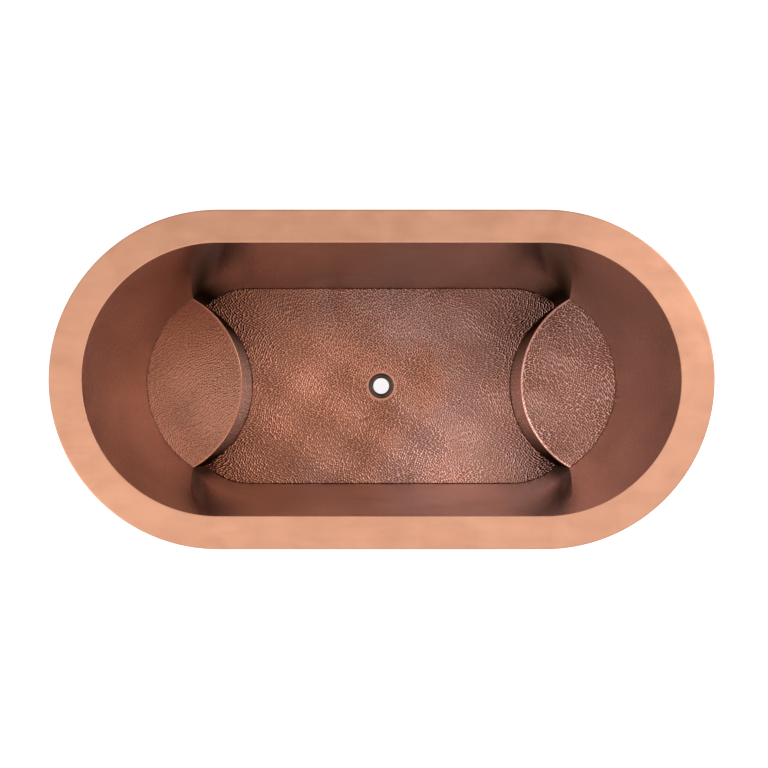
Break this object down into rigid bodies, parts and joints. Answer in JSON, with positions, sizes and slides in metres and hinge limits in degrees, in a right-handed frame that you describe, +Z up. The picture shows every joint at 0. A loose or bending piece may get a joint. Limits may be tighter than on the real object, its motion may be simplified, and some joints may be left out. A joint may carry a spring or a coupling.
{
  "type": "freestanding bathtub",
  "caption": "Double-walled hammered copper tub with round ends, a wide flat rim, a lens-shaped seat at each end, a central drain hole and levelling feet under its skirt.",
  "frame": {"origin": "on the ground under the middle of the tub", "axes": "+X along the tub, +Y across it, +Z up"},
  "size_m": [1.7996, 0.918, 0.686],
  "materials": {
    "rim_copper": "satin copper",
    "wall_copper": "antiqued copper, faintly hammered",
    "hammered_copper": "hammered antiqued copper",
    "drain_copper": "antiqued copper",
    "skirt_copper": "hammered antiqued copper",
    "frame_steel": "black painted steel",
    "zinc_steel": "zinc plated steel",
    "foot_rubber": "matt black rubber"
  },
  "bodies": {
    "root": {"backrest_left": "wall_copper", "backrest_right": "wall_copper", "base_ring": "frame_steel", "basin_side_front": "wall_copper", "basin_side_rear": "wall_copper", "cross_bar_inner_left": "frame_steel", "cross_bar_inner_right": "frame_steel", "cross_bar_outer_left": "frame_steel", "cross_bar_outer_right": "frame_steel", "drain_seat": "drain_copper", "floor_pan": "hammered_copper", "frame_rail_front": "frame_steel", "frame_rail_rear": "frame_steel", "lock_nuts": "zinc_steel", "rim": "rim_copper", "rim_bracket_front_1": "frame_steel", "rim_bracket_front_2": "frame_steel", "rim_bracket_front_3": "frame_steel", "rim_bracket_left": "frame_steel", "rim_bracket_rear_1": "frame_steel", "rim_bracket_rear_2": "frame_steel", "rim_bracket_rear_3": "frame_steel", "rim_bracket_right": "frame_steel", "seam_strap_front_left": "skirt_copper", "seam_strap_front_right": "skirt_copper", "seam_strap_rear_left": "skirt_copper", "seam_strap_rear_right": "skirt_copper", "seat_rib_left_1": "frame_steel", "seat_rib_left_2": "frame_steel", "seat_rib_left_3": "frame_steel", "seat_rib_right_1": "frame_steel", "seat_rib_right_2": "frame_steel", "seat_rib_right_3": "frame_steel", "seat_riser_left": "wall_copper", "seat_riser_right": "wall_copper", "seat_top_left": "hammered_copper", "seat_top_right": "hammered_copper", "skirt_front": "skirt_copper", "skirt_left": "skirt_copper", "skirt_rear": "skirt_copper", "skirt_right": "skirt_copper", "weld_nuts": "zinc_steel"},
    "foot_front_left": {"foot_pad_front_left": "foot_rubber", "foot_cup_front_left": "zinc_steel"},
    "stud_front_left": {"foot_stud_front_left": "zinc_steel"},
    "foot_front_right": {"foot_pad_front_right": "foot_rubber", "foot_cup_front_right": "zinc_steel"},
    "stud_front_right": {"foot_stud_front_right": "zinc_steel"},
    "foot_rear_left": {"foot_pad_rear_left": "foot_rubber", "foot_cup_rear_left": "zinc_steel"},
    "stud_rear_left": {"foot_stud_rear_left": "zinc_steel"},
    "foot_rear_right": {"foot_pad_rear_right": "foot_rubber", "foot_cup_rear_right": "zinc_steel"},
    "stud_rear_right": {"foot_stud_rear_right": "zinc_steel"}
  },
  "joints": [
    {"name": "foot_slide_front_left", "type": "slide", "parent": "root", "child": "foot_front_left", "axis": [0, 0, -1], "range_m": [-0.003, 0.012]},
    {"name": "stud_turn_front_left", "type": "hinge", "parent": "foot_front_left", "child": "stud_front_left", "pos_m": [-0.47, -0.25, 0.02], "axis": [0, 0, -1], "range_deg": [-630, 2480]},
    {"name": "foot_slide_front_right", "type": "slide", "parent": "root", "child": "foot_front_right", "axis": [0, 0, -1], "range_m": [-0.003, 0.012]},
    {"name": "stud_turn_front_right", "type": "hinge", "parent": "foot_front_right", "child": "stud_front_right", "pos_m": [0.47, -0.25, 0.02], "axis": [0, 0, -1], "range_deg": [-630, 2480]},
    {"name": "foot_slide_rear_left", "type": "slide", "parent": "root", "child": "foot_rear_left", "axis": [0, 0, -1], "range_m": [-0.003, 0.012]},
    {"name": "stud_turn_rear_left", "type": "hinge", "parent": "foot_rear_left", "child": "stud_rear_left", "pos_m": [-0.47, 0.25, 0.02], "axis": [0, 0, -1], "range_deg": [-630, 2480]},
    {"name": "foot_slide_rear_right", "type": "slide", "parent": "root", "child": "foot_rear_right", "axis": [0, 0, -1], "range_m": [-0.003, 0.012]},
    {"name": "stud_turn_rear_right", "type": "hinge", "parent": "foot_rear_right", "child": "stud_rear_right", "pos_m": [0.47, 0.25, 0.02], "axis": [0, 0, -1], "range_deg": [-630, 2480]}
  ],
  "couplings": [
    {"joint": "stud_turn_front_left", "follows": "foot_slide_front_left", "rad_per_m": 3590.4},
    {"joint": "stud_turn_front_right", "follows": "foot_slide_front_right", "rad_per_m": 3590.4},
    {"joint": "stud_turn_rear_left", "follows": "foot_slide_rear_left", "rad_per_m": 3590.4},
    {"joint": "stud_turn_rear_right", "follows": "foot_slide_rear_right", "rad_per_m": 3590.4}
  ]
}
